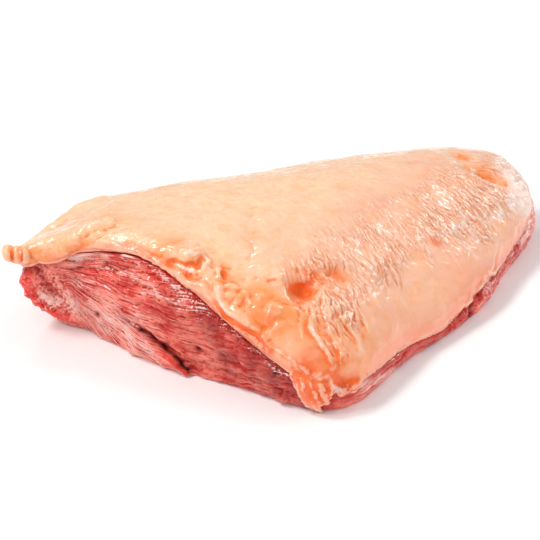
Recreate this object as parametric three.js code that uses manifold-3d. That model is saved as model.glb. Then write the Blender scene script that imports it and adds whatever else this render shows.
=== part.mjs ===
// A raw beef joint lying fat side up: a flat triangular slab of lean muscle, cut straight across its
// thick end, under a soft cap of fat that rolls over the cut face and runs down the right side nearly
// to the table. Millimetres, +Z up, resting on z = 0. The numbers below share one plan, and the joint is
// moved at the end so that the origin lies under the centre of its box.

import * as THREE from 'three';
import Module from 'manifold-3d';

const wasm = await Module();
wasm.setup();

// ---------------------------------------------------------------- driving dimensions

const CROWN = { x: -20, y: 18, height: 62, fat: 10 };   // the hub of every section, and the cap's depth there
const GAP = 0.3;              // between the lean and the cap, so that the solids don't touch
const SPOKES = 120;           // sections round the joint
const SHOULDER = 7;           // the cap starts to round over this far in from its edge
const SLIVER = 0.02;          // anything finer than this is merged where solids are joined
const BELLY = 0.08;           // how far the lean's sides swell at half height, as a share of their height
const TUCK = 0.3;             // where the cap's edge is fullest, as a share of its height

// The outline, once round against the clock from the thick left corner, along the seam between lean and
// cap. lean and fat are the heights of their edges above the table, crown is how square the section's
// shoulder is, foot is how far the lean spreads past the seam at the table, and lip is how far the cap
// hangs past it.
const STATIONS = [
  { x: -157, y: 50, lean: 33, fat: 45, crown: 3.6, foot: -19, lip: 3 },     // left corner
  { x: -139, y: 29, lean: 46, fat: 56, crown: 3.8, foot: -8, lip: 2 },
  { x: -118, y: -2, lean: 54, fat: 62, crown: 4.0, foot: 3, lip: 0 },       // cut face, thickest
  { x: -102, y: -31, lean: 45, fat: 56, crown: 3.4, foot: 2, lip: 0 },
  { x: -87, y: -57, lean: 29, fat: 42, crown: 3.0, foot: -1, lip: 1 },
  { x: -68, y: -88, lean: 14, fat: 29, crown: 2.6, foot: -3, lip: 1 },      // near corner
  { x: -45, y: -92, lean: 11, fat: 21, crown: 2.6, foot: -1, lip: 0 },
  { x: -6, y: -70, lean: 8, fat: 17, crown: 2.6, foot: -1, lip: 0 },        // right side
  { x: 24, y: -58, lean: 5, fat: 15, crown: 2.5, foot: -1, lip: 0 },
  { x: 56, y: -42, lean: 11, fat: 18, crown: 2.4, foot: -1, lip: -1 },
  { x: 88, y: -17, lean: 11, fat: 20, crown: 2.2, foot: -2, lip: 0 },
  { x: 127, y: 13, lean: 16, fat: 25, crown: 2.0, foot: -4, lip: -2 },
  { x: 141, y: 43, lean: 21, fat: 32, crown: 2.0, foot: -14, lip: -4 },     // thin tip
  { x: 128, y: 71, lean: 20, fat: 37, crown: 2.0, foot: -4, lip: 0 },
  { x: 60, y: 86, lean: 22, fat: 37, crown: 2.2, foot: -4, lip: 1 },        // back
  { x: -30, y: 86, lean: 25, fat: 38, crown: 2.4, foot: -4, lip: 1 },
  { x: -112, y: 77, lean: 31, fat: 48, crown: 3.1, foot: -5, lip: 2 },
];

// Strokes pressed into the cap (rise below 0) or swelling from it, each a spot or a line between two
// points on the surface, fading out over its radius.
const CAP_RELIEF = [
  { from: [-59, -59, 47], radius: 8, rise: -5 },                            // deep pit
  { from: [-35, -53, 49], radius: 9, rise: -2.5 },                          // dent beside it
  { from: [-61, -42, 54], to: [-66, -60, 46], radius: 4, rise: 2 },         // brow over the pit
  { from: [-75, -66, 41], radius: 8, rise: 2.5 },                           // round swelling
  { from: [-96, -43, 48], to: [-88, -56, 39], radius: 6, rise: 2.5 },       // bulge over the cut face
  { from: [-98, -22, 59], radius: 6, rise: 2 },                             // lump above the groove
  { from: [-107, -19, 56], to: [-98, -31, 55], radius: 4, rise: -2.5 },     // groove along the cut face
  { from: [-87, -37, 53], to: [-75, -44, 51], radius: 4, rise: -2 },        // hollows behind the bulge
  { from: [-54, -68, 43], to: [-55, -88, 29], radius: 3.5, rise: -2 },      // folds at the near corner
  { from: [-45, -70, 41], to: [-44, -86, 27], radius: 3.5, rise: -1.5 },
  { from: [-36, -64, 42], to: [-34, -84, 26], radius: 4, rise: -1.5 },
  { from: [-50, 10, 62], to: [-61, -16, 60], radius: 4, rise: -1.5 },       // crease across the top
  { from: [-67, -19, 60], to: [-72, -32, 56], radius: 4, rise: -1.5 },
  { from: [98, 44, 46], radius: 9, rise: -2.5 },                            // dents towards the tip
  { from: [104, 29, 42], radius: 8, rise: -2.5 },
  { from: [80, 22, 48], to: [96, 14, 40], radius: 8, rise: 1.5 },           // swelling between them
  { from: [-150, 36, 44], to: [-138, 25, 50], radius: 7, rise: 2.5 },       // roll along the left edge
  { from: [-122, 24, 60], radius: 5, rise: 1.5 },                           // nodules along its crest
  { from: [-117, 8, 61], radius: 5, rise: 1.5 },
  { from: [-135, 34, 57], radius: 5, rise: 1.5 },
];

// The same for the sides of the lean, pressed in towards the crown or swelling away from it.
const LEAN_RELIEF = [
  { from: [-120, -9, 17], to: [-103, -34, 4], radius: 4, rise: -3.5 },      // slit behind the torn flap
  { from: [-142, 31, 40], to: [-123, 4, 49], radius: 3, rise: -1.5 },       // groove between two muscles
  { from: [-150, 38, 34], to: [-146, 34, 22], radius: 6, rise: -3 },        // ragged hollow at the left
  { from: [-102, -39, 17], radius: 5, rise: -2 },                           // pit low on the cut face
  { from: [-116, -12, 34], radius: 22, rise: 2.5 },                         // belly of the cut face
  { from: [49, -46, 8], radius: 6, rise: -3 },                              // tear low on the right side
];

// Lobes of fat past the cap's edge: two at the left corner, a drape over the near corner and a small
// one beside it. Radii lie across, along and up from a plan heading in degrees.
const LOBES = [
  { at: [-159.5, 47.5, 41], radii: [7.5, 5.5, 4.5], heading: -30 },
  { at: [-155, 45, 41.5], radii: [6.5, 6, 5.5], heading: -30 },
  { at: [-65, -87, 13], radii: [10, 6.5, 12], heading: -35 },
  { at: [-50, -91, 12], radii: [9, 5, 5], heading: 15 },
];

// Torn tongues of lean along the foot of the cut face, each a run of points with its half height and
// half thickness: a long flap standing off the face, and two small tags.
const TONGUES = [
  [[-122, -1, 9, 8, 2], [-119, -8, 10, 8, 3], [-113.5, -18, 7.5, 6.5, 3], [-107.5, -29, 4, 3.4, 2.2],
    [-105, -35, 2.5, 2, 1.4]],
  [[-75, -71, 9, 3, 2], [-76.5, -74, 5, 2.6, 2], [-77, -77, 2.6, 2, 1.4]],
  [[-61, -86, 6, 3, 2], [-61.5, -89.5, 3.5, 2.6, 2], [-62, -92, 2.2, 1.8, 1.3]],
];
const TONGUE_SIDES = 10;

// ---------------------------------------------------------------- the sections

// The closed smooth line through one value of every station, read at any turn from 0 to 1.
function aroundStations(read) {
  const knots = STATIONS.map((station) => new THREE.Vector3(...read(station)));
  return new THREE.CatmullRomCurve3(knots, true, 'catmullrom', 0.5);
}

const outline = aroundStations((s) => [s.x, s.y, 0]);
const edges = aroundStations((s) => [s.lean, s.fat, s.crown]);
const hangs = aroundStations((s) => [s.foot, s.lip, 0]);

// One upright section from the crown to the outline: its direction, reach and edge heights.
function sectionAt(turn) {
  const rim = outline.getPoint(turn);
  const edge = edges.getPoint(turn);
  const hang = hangs.getPoint(turn);
  const reach = Math.hypot(rim.x - CROWN.x, rim.y - CROWN.y);
  return {
    dx: (rim.x - CROWN.x) / reach,
    dy: (rim.y - CROWN.y) / reach,
    reach,
    lean: edge.x,
    fat: edge.y,
    crown: edge.z,
    foot: hang.x,
    lip: hang.y,
  };
}

const SECTIONS = Array.from({ length: SPOKES }, (_, i) => sectionAt(i / SPOKES));

function pointOn(section, radius, z) {
  return new THREE.Vector3(CROWN.x + section.dx * radius, CROWN.y + section.dy * radius, z);
}

// Height at a share of the reach, falling from the middle to the edge with a square or soft shoulder.
function domeHeight(middle, edge, section, share) {
  return edge + (middle - edge) * (1 - Math.min(share, 1) ** section.crown);
}
function topHeight(section, share) {
  return domeHeight(CROWN.height, section.fat, section, share);
}

// The seam between lean and cap is faceted alike on both sides, so that the gap stays even.
const SEAM_SHARES = [0.3, 0.55, 0.74, 0.87, 0.95, 1];
function seamHeight(section, share) {
  const dome = (at) => domeHeight(CROWN.height - CROWN.fat, section.lean, section, at);
  const outer = SEAM_SHARES.findIndex((at) => at >= share);
  const [a, b] = [SEAM_SHARES[outer - 1] ?? 0, SEAM_SHARES[outer]];
  return THREE.MathUtils.lerp(dome(a), dome(b), (share - a) / (b - a));
}

// ---------------------------------------------------------------- relief

// How far the strokes lift the surface at a point.
function reliefAt(strokes, point) {
  let lift = 0;
  for (const stroke of strokes) {
    const start = new THREE.Vector3(...stroke.from);
    const nearest = start.clone();
    if (stroke.to) {
      const line = new THREE.Line3(start, new THREE.Vector3(...stroke.to));
      line.closestPointToPoint(point, true, nearest);
    }
    lift += stroke.rise * Math.exp(-((point.distanceTo(nearest) / stroke.radius) ** 2));
  }
  return lift;
}

// Moves a point by the strokes, outwards along its section or upwards as upright goes from 0 to 1.
function relieve(strokes, section, point, upright, strength) {
  const lift = strength * reliefAt(strokes, point);
  point.x += section.dx * (1 - upright) * lift;
  point.y += section.dy * (1 - upright) * lift;
  point.z += upright * lift;
  return point;
}

// ---------------------------------------------------------------- shells from rings

// A closed shell from a pole, rings with the same number of points, and a pole, going up or outwards.
function shell(firstPole, rings, lastPole) {
  const sides = rings[0].length;
  const points = [firstPole, ...rings.flat(), lastPole];
  const faces = [];
  const at = (ring, spoke) => 1 + ring * sides + (spoke % sides);
  const last = points.length - 1;
  for (let spoke = 0; spoke < sides; spoke += 1) {
    faces.push(0, at(0, spoke + 1), at(0, spoke));
    for (let ring = 0; ring + 1 < rings.length; ring += 1) {
      const [a, b] = [at(ring, spoke), at(ring, spoke + 1)];
      const [c, d] = [at(ring + 1, spoke), at(ring + 1, spoke + 1)];
      faces.push(a, b, d, a, d, c);
    }
    faces.push(last, at(rings.length - 1, spoke), at(rings.length - 1, spoke + 1));
  }
  const geometry = new THREE.BufferGeometry().setFromPoints(points);
  geometry.setIndex(faces);
  return geometry;
}

const ringOf = (place) => SECTIONS.map(place);

// The lean, or the same swollen all over by a margin.
function leanShell(margin) {
  const rings = [ringOf((s) => pointOn(s, SEAM_SHARES[1] * s.reach, -margin))];
  const sideSteps = 9;
  for (let i = 0; i <= sideSteps; i += 1) {
    const t = i / sideSteps;
    rings.push(ringOf((s) => {
      const belly = BELLY * s.lean * Math.sin(Math.PI * t);
      const radius = s.reach + s.foot * (1 - t) ** 2 + belly + margin;
      const point = pointOn(s, radius, s.lean * t + margin * (2 * t - 1));
      return relieve(LEAN_RELIEF, s, point, 0, Math.sin(Math.PI * t));
    }));
  }
  for (const share of SEAM_SHARES.slice(0, -1).reverse()) {
    rings.push(ringOf((s) => pointOn(s, share * s.reach, seamHeight(s, share) + margin)));
  }
  const middle = new THREE.Vector3(CROWN.x, CROWN.y, CROWN.height - CROWN.fat + margin);
  return shell(new THREE.Vector3(CROWN.x, CROWN.y, -margin), rings, middle);
}

// The cap's rounded edge in one section, from under the lip up to the shoulder.
function rimCurve(section) {
  const under = section.reach + Math.min(section.lip, 0);
  const out = section.reach + section.lip;
  const shoulder = out - SHOULDER;
  const share = shoulder / section.reach;
  const top = topHeight(section, share);
  const slope = (topHeight(section, share + 0.01) - top) / (0.01 * section.reach);
  const low = seamHeight(section, under / section.reach) + GAP;
  return new THREE.CubicBezierCurve(
    new THREE.Vector2(under, low),
    new THREE.Vector2(out + 2 * Math.max(section.lip, 0), low + TUCK * (top - low)),
    new THREE.Vector2(shoulder + SHOULDER, top + slope * SHOULDER),
    new THREE.Vector2(shoulder, top),
  );
}

function capShell() {
  const rims = SECTIONS.map(rimCurve);
  const rings = [];
  for (const share of SEAM_SHARES.slice(0, -1)) {
    rings.push(ringOf((s) => pointOn(s, share * s.reach, seamHeight(s, share) + GAP)));
  }
  const rimSteps = 6;
  for (let i = 0; i <= rimSteps; i += 1) {
    const t = i / rimSteps;
    rings.push(SECTIONS.map((s, k) => {
      const { x, y } = rims[k].getPoint(t);
      return relieve(CAP_RELIEF, s, pointOn(s, x, y), t, Math.min(1, 2 * t));
    }));
  }
  const topSteps = 22;
  for (let i = 1; i < topSteps; i += 1) {
    rings.push(ringOf((s) => {
      const share = ((s.reach + s.lip - SHOULDER) / s.reach) * (1 - i / topSteps);
      return relieve(CAP_RELIEF, s, pointOn(s, share * s.reach, topHeight(s, share)), 1, 1);
    }));
  }
  const under = new THREE.Vector3(CROWN.x, CROWN.y, CROWN.height - CROWN.fat + GAP);
  return shell(under, rings, new THREE.Vector3(CROWN.x, CROWN.y, CROWN.height));
}

// A lobe of fat as an ellipsoid.
function lobeShell(lobe) {
  const [sides, bands] = [14, 8];
  const rings = [];
  for (let band = 1; band < bands; band += 1) {
    const polar = Math.PI * (1 - band / bands);
    rings.push(Array.from({ length: sides }, (_, i) => (
      new THREE.Vector3().setFromSphericalCoords(1, polar, (i / sides) * 2 * Math.PI)
    )));
  }
  const geometry = shell(new THREE.Vector3(0, -1, 0), rings, new THREE.Vector3(0, 1, 0));
  geometry.rotateX(Math.PI / 2);
  geometry.scale(...lobe.radii);
  geometry.rotateZ(THREE.MathUtils.degToRad(lobe.heading));
  geometry.translate(...lobe.at);
  return geometry;
}

// A tongue of lean: upright oval rings along a run of points, drawn to a point at both ends.
function tongueShell(run) {
  const path = new THREE.CatmullRomCurve3(run.map(([x, y, z]) => new THREE.Vector3(x, y, z)));
  const rings = run.map(([x, y, z, halfHeight, halfThickness], i) => {
    const ahead = path.getTangent(i / (run.length - 1));
    const across = new THREE.Vector3(-ahead.y, ahead.x, 0).normalize();
    return Array.from({ length: TONGUE_SIDES }, (_, side) => {
      const angle = (side / TONGUE_SIDES) * 2 * Math.PI;
      const point = new THREE.Vector3(x, y, z).addScaledVector(across, halfThickness * Math.cos(angle));
      point.z = Math.max(0.2, point.z + halfHeight * Math.sin(angle));
      return point;
    });
  });
  const reachOut = (i, amount) => path.getPoint(i).addScaledVector(path.getTangent(i), amount);
  return shell(reachOut(0, -1), rings, reachOut(1, 1));
}

// ---------------------------------------------------------------- solids

function toSolid(geometry) {
  return new wasm.Manifold(new wasm.Mesh({
    numProp: 3,
    vertProperties: new Float32Array(geometry.attributes.position.array),
    triVerts: new Uint32Array(geometry.index.array),
  }));
}

function toGeometry(solid) {
  const mesh = solid.getMesh();
  const geometry = new THREE.BufferGeometry();
  geometry.setAttribute('position', new THREE.BufferAttribute(mesh.vertProperties, 3));
  geometry.setIndex(new THREE.BufferAttribute(mesh.triVerts, 1));
  return geometry;
}

// One solid of a body and what grows from it, without the slivers where they meet.
function joined(body, additions) {
  return wasm.Manifold.union([toSolid(body), ...additions]).simplify(SLIVER);
}

const lean = joined(leanShell(0), TONGUES.map((run) => toSolid(tongueShell(run))));
const keptClear = toSolid(leanShell(2 * GAP));
const cap = joined(capShell(), LOBES.map((lobe) => toSolid(lobeShell(lobe)).subtract(keptClear)));

// ---------------------------------------------------------------- the part

const joint = new THREE.Group();

function addPiece(name, solid, colour, roughness) {
  const material = new THREE.MeshStandardMaterial({ color: colour, roughness, metalness: 0 });
  const mesh = new THREE.Mesh(toGeometry(solid), material);
  mesh.name = name;
  joint.add(mesh);
}
addPiece('lean', lean, 0xc9564a, 0.4);
addPiece('fat_cap', cap, 0xf8cba8, 0.35);

const middle = new THREE.Box3().setFromObject(joint).getCenter(new THREE.Vector3());
for (const mesh of joint.children) mesh.geometry.translate(-middle.x, -middle.y, 0);

export default joint;
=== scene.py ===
"""A raw beef joint under a cap of fat: two fine skins grown over the plain solids of the frame.

Folds, pits, wrinkles and muscle grain are raised in the meshes, and tints are stored in them, by strokes
that are drawn on the square picture and carried onto the surface by the camera's rays. The materials are
moist, the floor is pale and the light soft."""

import math

import bmesh
import bpy
import numpy as np
from mathutils import Matrix, Vector, noise
from mathutils.bvhtree import BVHTree


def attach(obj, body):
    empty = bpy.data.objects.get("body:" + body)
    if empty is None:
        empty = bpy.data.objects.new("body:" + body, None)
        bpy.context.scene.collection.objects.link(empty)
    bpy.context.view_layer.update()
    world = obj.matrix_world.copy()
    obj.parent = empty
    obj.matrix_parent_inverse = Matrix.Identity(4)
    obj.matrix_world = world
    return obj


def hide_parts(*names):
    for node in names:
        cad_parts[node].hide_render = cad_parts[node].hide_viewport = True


MM = 0.001
TRIANGLES = 192000                                # the most in a piece
UNSEEN = -0.08                                    # m, the camera's height over a face that it can't see
UNSEEN_KEPT = 0.35                                # share of the triangles that stay on such faces
COVERED = 1.2                                     # mm, between the pieces where one covers the other
COARSE = 1.1                                      # mm, the faces' size while large forms are raised
BEDDING = 1.0                                     # mm that the cap's underside and the lean below go down

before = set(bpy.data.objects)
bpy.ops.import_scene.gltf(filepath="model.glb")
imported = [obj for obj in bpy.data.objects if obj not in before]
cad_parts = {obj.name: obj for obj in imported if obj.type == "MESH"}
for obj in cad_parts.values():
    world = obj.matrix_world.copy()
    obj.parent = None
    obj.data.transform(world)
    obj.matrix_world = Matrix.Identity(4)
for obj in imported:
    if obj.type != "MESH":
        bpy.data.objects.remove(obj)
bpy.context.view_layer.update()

# -------------------------------- camera

PHOTO_SIDE = 540                                  # pixels of the square picture
LENS, SENSOR = 100.0, 36.0                        # mm
REACH = PHOTO_SIDE * LENS / SENSOR                # the lens in pixels
TARGET = Vector((-30.5, 6.8, 26.6)) * MM          # what the camera looks at
TURN, TILT, AWAY = math.radians(-26.6), math.radians(27.0), 760 * MM


def add_camera():
    back = Vector((math.sin(TURN) * math.cos(TILT), -math.cos(TURN) * math.cos(TILT), math.sin(TILT)))
    camera = bpy.data.objects.new("camera", bpy.data.cameras.new("camera"))
    camera.data.lens = LENS
    camera.data.sensor_width = SENSOR
    camera.location = TARGET + back * AWAY
    camera.rotation_euler = (-back).to_track_quat("-Z", "Y").to_euler()
    bpy.context.scene.collection.objects.link(camera)
    bpy.context.scene.camera = camera
    bpy.context.view_layer.update()
    return camera


camera = add_camera()


def ray_through(pixel):
    """Where the camera's ray through a pixel of the picture starts, and its direction."""
    across, down = pixel
    ahead = Vector(((across - PHOTO_SIDE / 2) / REACH, (PHOTO_SIDE / 2 - down) / REACH, -1))
    return camera.location, (camera.matrix_world.to_3x3() @ ahead).normalized()


def picture_of(points):
    """The pixels at which the camera sees some points."""
    turned = (points - np.array(camera.location)) @ np.array(camera.matrix_world.to_3x3())
    across = PHOTO_SIDE / 2 - REACH * turned[:, 0] / turned[:, 2]
    down = PHOTO_SIDE / 2 + REACH * turned[:, 1] / turned[:, 2]
    return np.column_stack([across, down])


# -------------------------------- meshes and their points


def tree_of(piece):
    return BVHTree.FromObject(piece, bpy.context.evaluated_depsgraph_get())


cap_solid, lean_solid = tree_of(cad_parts["fat_cap"]), tree_of(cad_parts["lean"])


def read_points(mesh, what="co"):
    values = np.empty(len(mesh.vertices) * 3, np.float32)
    mesh.vertices.foreach_get(what, values)
    return values.reshape(-1, 3).astype(float)


def move_points(mesh, points):
    mesh.vertices.foreach_set("co", points.astype(np.float32).ravel())
    mesh.update()


def raise_points(mesh, lift):
    """Moves every point along its normal by lift mm."""
    move_points(mesh, read_points(mesh) + read_points(mesh, "normal") * (lift * MM)[:, None])


def rest_on_floor(mesh):
    """Flattens what hangs through the floor."""
    points = read_points(mesh)
    points[:, 2] = np.maximum(points[:, 2], 0)
    move_points(mesh, points)


def write_fields(mesh, fields):
    """Stores named values at the points, for the piece's material to read."""
    for name, values in fields.items():
        field = mesh.attributes.new(name, "FLOAT", "POINT")
        field.data.foreach_set("value", values.astype(np.float32))


def blurred(mesh, values, times):
    """Values at the points, evened out with those of their neighbours."""
    ends = np.empty(len(mesh.edges) * 2, np.int32)
    mesh.edges.foreach_get("vertices", ends)
    first, second = ends.reshape(-1, 2).T
    count = len(values)
    links = np.bincount(first, minlength=count) + np.bincount(second, minlength=count)
    for _ in range(times):
        total = np.bincount(first, values[second], count) + np.bincount(second, values[first], count)
        values = (values + total) / (1 + links)
    return values


def hollowness(mesh, times):
    """How deep in mm each point lies under its surroundings, which widen with times."""
    points = read_points(mesh)
    even = np.column_stack([blurred(mesh, points[:, axis], times) for axis in range(3)])
    return ((even - points) * read_points(mesh, "normal")).sum(axis=1) / MM


def nearness(points, tree):
    """Distance in mm from every point to a surface."""
    return np.array([tree.find_nearest(point)[3] for point in points]) / MM


def settle(piece):
    """Applies the piece's modifiers to its mesh."""
    graph = bpy.context.evaluated_depsgraph_get()
    mesh = bpy.data.meshes.new_from_object(piece.evaluated_get(graph))
    piece.modifiers.clear()
    piece.data = mesh


def thin_out(piece, chosen, share):
    """Keeps about a share of the triangles where chosen is true, and all of them elsewhere."""
    group = piece.vertex_groups.new(name="chosen")
    group.add(np.nonzero(chosen)[0].tolist(), 1.0, "REPLACE")
    fewer = piece.modifiers.new("fewer", "DECIMATE")
    fewer.vertex_group = "chosen"
    fewer.ratio = 1 - (1 - share) * chosen.mean()
    settle(piece)
    piece.vertex_groups.clear()


def keep_to_limit(piece):
    """Thins out what the camera doesn't see, and then the flattest places, down to TRIANGLES."""
    toward = np.array(camera.location) - read_points(piece.data)
    height = (toward * read_points(piece.data, "normal")).sum(axis=1)
    thin_out(piece, height < UNSEEN, UNSEEN_KEPT)
    count = sum(len(face.vertices) - 2 for face in piece.data.polygons)
    if count > TRIANGLES:
        everywhere = np.full(len(piece.data.vertices), True)
        thin_out(piece, everywhere, TRIANGLES / count)


def welded_copy(node, name):
    """A copy of a CAD node with its loose triangles joined at their corners."""
    made = bmesh.new()
    made.from_mesh(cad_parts[node].data)
    bmesh.ops.remove_doubles(made, verts=made.verts, dist=0.01 * MM)
    mesh = bpy.data.meshes.new(name)
    made.to_mesh(mesh)
    made.free()
    piece = bpy.data.objects.new(name, mesh)
    bpy.context.scene.collection.objects.link(piece)
    return piece


def reskin(piece, voxel, smoothing):
    """Gives a piece small even faces of about voxel mm and smooths them a number of times."""
    grid = piece.modifiers.new("grid", "REMESH")
    grid.mode = "VOXEL"
    grid.voxel_size = voxel * MM
    soft = piece.modifiers.new("soft", "SMOOTH")
    soft.factor = 0.5
    soft.iterations = smoothing
    settle(piece)


def join_beads(piece, beads):
    """Adds cords of overlapping balls to a piece, for the next reskin to melt in."""
    tree = tree_of(piece)
    made = bmesh.new()
    bmesh.ops.create_icosphere(made, subdivisions=2, radius=1.0)
    ball = bpy.data.meshes.new("ball")
    made.to_mesh(ball)
    made.clear()
    made.from_mesh(piece.data)
    for radius, sink, pixels in beads.values():
        for stop in cord_stops(spots(tree, pixels), 0.5 * radius):
            toward = np.array(camera.location) - stop
            middle = stop - toward / np.linalg.norm(toward) * sink * MM
            seat = Matrix.LocRotScale(Vector(middle), None, Vector((1, 1, 1)) * radius * MM)
            ball.transform(seat)
            made.from_mesh(ball)
            ball.transform(seat.inverted())
    made.to_mesh(piece.data)
    made.free()
    bpy.data.meshes.remove(ball)


def cord_stops(path, step):
    """Places along a path, no more than step mm apart."""
    stops = [path[0]]
    for start, end in zip(path, path[1:]):
        count = max(1, math.ceil(np.linalg.norm(end - start) / (step * MM)))
        stops += [start + (end - start) * share / count for share in range(1, count + 1)]
    return stops


# -------------------------------- strokes drawn on the picture

SHAKE = 0.7                                       # mm that a stroke wanders, as if drawn by hand
UNEVEN = 0.3                                      # share by which its strength varies along it
RAY_STEPS = 8                                     # steps to the place nearest to a ray


def spot(tree, pixel):
    """The place on a surface seen at a pixel, or the nearest one where the ray passes by the surface."""
    start, ahead = ray_through(pixel)
    place = tree.ray_cast(start, ahead)[0]
    if place is None:
        place = TARGET
        for _ in range(RAY_STEPS):
            place = tree.find_nearest(start + ahead * (place - start).dot(ahead))[0]
    return np.array(place)


def spots(tree, pixels):
    """The places seen at some pixels, on a curve that runs smoothly through them."""
    marks = [pixels[0], *pixels, pixels[-1]]
    curve = [pixels[0]]
    for before, start, end, after in zip(marks, marks[1:], marks[2:], marks[3:]):
        for share in (1 / 3, 2 / 3, 1):
            curve.append([bent(share, *values) for values in zip(before, start, end, after)])
    return [spot(tree, pixel) for pixel in (curve if len(pixels) > 1 else pixels)]


def bent(share, before, start, end, after):
    """A Catmull-Rom curve's value at a share of the way from start to end."""
    slope_in, slope_out = (end - before) / 2, (after - start) / 2
    swing = 3 * (end - start) - 2 * slope_in - slope_out
    turn = 2 * (start - end) + slope_in + slope_out
    return start + share * (slope_in + share * (swing + share * turn))


def off_path(points, seen, path):
    """Each point's distance from a path in mm, and the same with a minus on the right of the path as drawn.

    A path of one place has no right side."""
    if len(path) == 1:
        gap = np.linalg.norm(points - path[0], axis=1) / MM
        return gap, gap
    nearest = np.full(len(points), np.inf)
    side = np.zeros(len(points))
    marks = picture_of(np.array(path))
    for start, end, mark, next_mark in zip(path, path[1:], marks, marks[1:]):
        run = end - start
        share = np.clip((points - start) @ run / (run @ run), 0, 1)
        gap = np.linalg.norm(points - start - share[:, None] * run, axis=1) / MM
        line, offset = next_mark - mark, seen - mark
        turn = np.sign(line[1] * offset[:, 0] - line[0] * offset[:, 1])
        closer = gap < nearest
        nearest[closer] = gap[closer]
        side[closer] = (turn * gap)[closer]
    return nearest, side


# the shapes of the strokes, from 0 to 1 over a point's distance from the path, which side has with its sign


def swell(gap, side, radius):
    """A rounded mound."""
    return np.exp(-((gap / radius) ** 2))


def crease(gap, side, radius):
    """A thin line with a sharp middle."""
    return np.exp(-gap / radius)


def ledge(gap, side, radius):
    """A step that is high on the left of the path as it is drawn."""
    return np.tanh(3 * side / radius) * np.exp(-((gap / (1.8 * radius)) ** 2))


def lip(gap, side, radius):
    """A ridge that falls gently on the left of the path and steeply on its right."""
    width = np.where(side > 0, radius, 0.4 * radius)
    return np.exp(-((gap / width) ** 2))


def drawn(piece, strokes):
    """The sum of some strokes at every point of a piece, a little shaken and uneven."""
    tree, points = tree_of(piece), read_points(piece.data)
    shake = [bumps(points / MM, (9, 9, 9), 2, seed) for seed in (21, 22, 23)]
    points += SHAKE * MM * np.column_stack(shake)
    total = np.zeros(len(points))
    seen = picture_of(points)
    for shape, radius, amount, pixels in strokes.values():
        gap, side = off_path(points, seen, spots(tree, pixels))
        total += amount * shape(gap, side, radius)
    return total * (1 + UNEVEN * bumps(points / MM, (8, 8, 8), 2, 24))


def grown(value, low, high):
    """0 below low, 1 above high, and smooth between; low may be the greater."""
    share = np.clip((value - low) / (high - low), 0, 1)
    return share * share * (3 - 2 * share)


def bumps(places, sizes, octaves, seed):
    """Rounded noise from about -1 to 1 at places in mm, with the size in mm of its lumps each way."""
    scaled = places / np.array(sizes) + 17.3 * seed
    return np.array([noise.fractal(Vector(place), 1.0, 2.0, octaves) for place in scaled]) * 1.6


# -------------------------------- shader nodes


def colour(red, green, blue):
    """A colour read as 0 to 255 on a screen, as the shader's linear one."""
    shares = [value / 255 for value in (red, green, blue)]
    linear = [share / 12.92 if share <= 0.04 else ((share + 0.055) / 1.055) ** 2.4 for share in shares]
    return (*linear, 1.0)


class Recipe:
    """A material's node tree, with short words for the nodes that the finishes share."""

    def __init__(self, name):
        self.material = bpy.data.materials.new(name)
        self.material.use_nodes = True
        self.tree = self.material.node_tree
        self.tree.nodes.clear()
        self.place = self.add("ShaderNodeTexCoord").outputs["Object"]

    def add(self, kind, inputs=None, **settings):
        made = self.tree.nodes.new(kind)
        for key, value in settings.items():
            setattr(made, key, value)
        for key, value in (inputs or {}).items():
            if isinstance(value, bpy.types.NodeSocket):
                self.tree.links.new(value, made.inputs[key])
            else:
                made.inputs[key].default_value = value
        return made

    def field(self, name):
        return self.add("ShaderNodeAttribute", attribute_name=name).outputs["Fac"]

    def math(self, operation, a, b=0.0):
        return self.add("ShaderNodeMath", {0: a, 1: b}, operation=operation).outputs[0]

    def plus(self, a, b):
        return self.math("ADD", a, b)

    def times(self, a, b):
        return self.math("MULTIPLY", a, b)

    def between(self, value, low, high, start=0.0, end=1.0):
        """value's travel from low to high, smoothly spread from start to end."""
        inputs = {"Value": value, "From Min": low, "From Max": high, "To Min": start, "To Max": end}
        return self.add("ShaderNodeMapRange", inputs, interpolation_type="SMOOTHSTEP").outputs["Result"]

    def mix(self, share, first, second):
        """A colour a share of the way from the first to the second."""
        return self.add("ShaderNodeMix", {0: share, 6: first, 7: second}, data_type="RGBA").outputs[2]

    def blend(self, share, first, second):
        """A number a share of the way from the first to the second."""
        return self.add("ShaderNodeMix", {0: share, 2: first, 3: second}, data_type="FLOAT").outputs[0]

    def coats(self, base, shares, colours):
        """A base colour under coats of named colours, each with the share of the same name."""
        for name, share in shares.items():
            base = self.mix(share, base, colour(*colours[name]))
        return base

    def noise(self, size, detail):
        """Noise with lumps of about a size in mm, from 0 to 1."""
        inputs = {"Vector": self.place, "Scale": 1 / (size * MM), "Detail": detail, "Roughness": 0.55}
        return self.add("ShaderNodeTexNoise", inputs).outputs["Fac"]

    def streaks(self, across, along, detail=2.0):
        """Noise drawn out along the grain, from 0 to 1, with its sizes in mm across and along it."""
        inputs = {
            "X": self.math("DIVIDE", self.field("grain"), across),
            "Y": self.math("DIVIDE", self.field("run"), along),
            "Z": self.math("DIVIDE", self.field("grain"), 9 * across),
        }
        place = self.add("ShaderNodeCombineXYZ", inputs).outputs[0]
        inputs = {"Vector": place, "Scale": 1.0, "Detail": detail}
        return self.add("ShaderNodeTexNoise", inputs).outputs["Fac"]

    def finish(self, shader, bump_height=None, bump_depth=0.0):
        """The material with its shader, bent by a bump whose height of 1 is bump_depth mm."""
        if bump_height is not None:
            inputs = {"Height": bump_height, "Distance": bump_depth * MM, "Strength": 1.0}
            bump = self.add("ShaderNodeBump", inputs)
            self.tree.links.new(bump.outputs[0], shader.inputs["Normal"])
        self.add("ShaderNodeOutputMaterial", {"Surface": shader.outputs[0]})
        return self.material


# -------------------------------- the cap of fat

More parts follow.
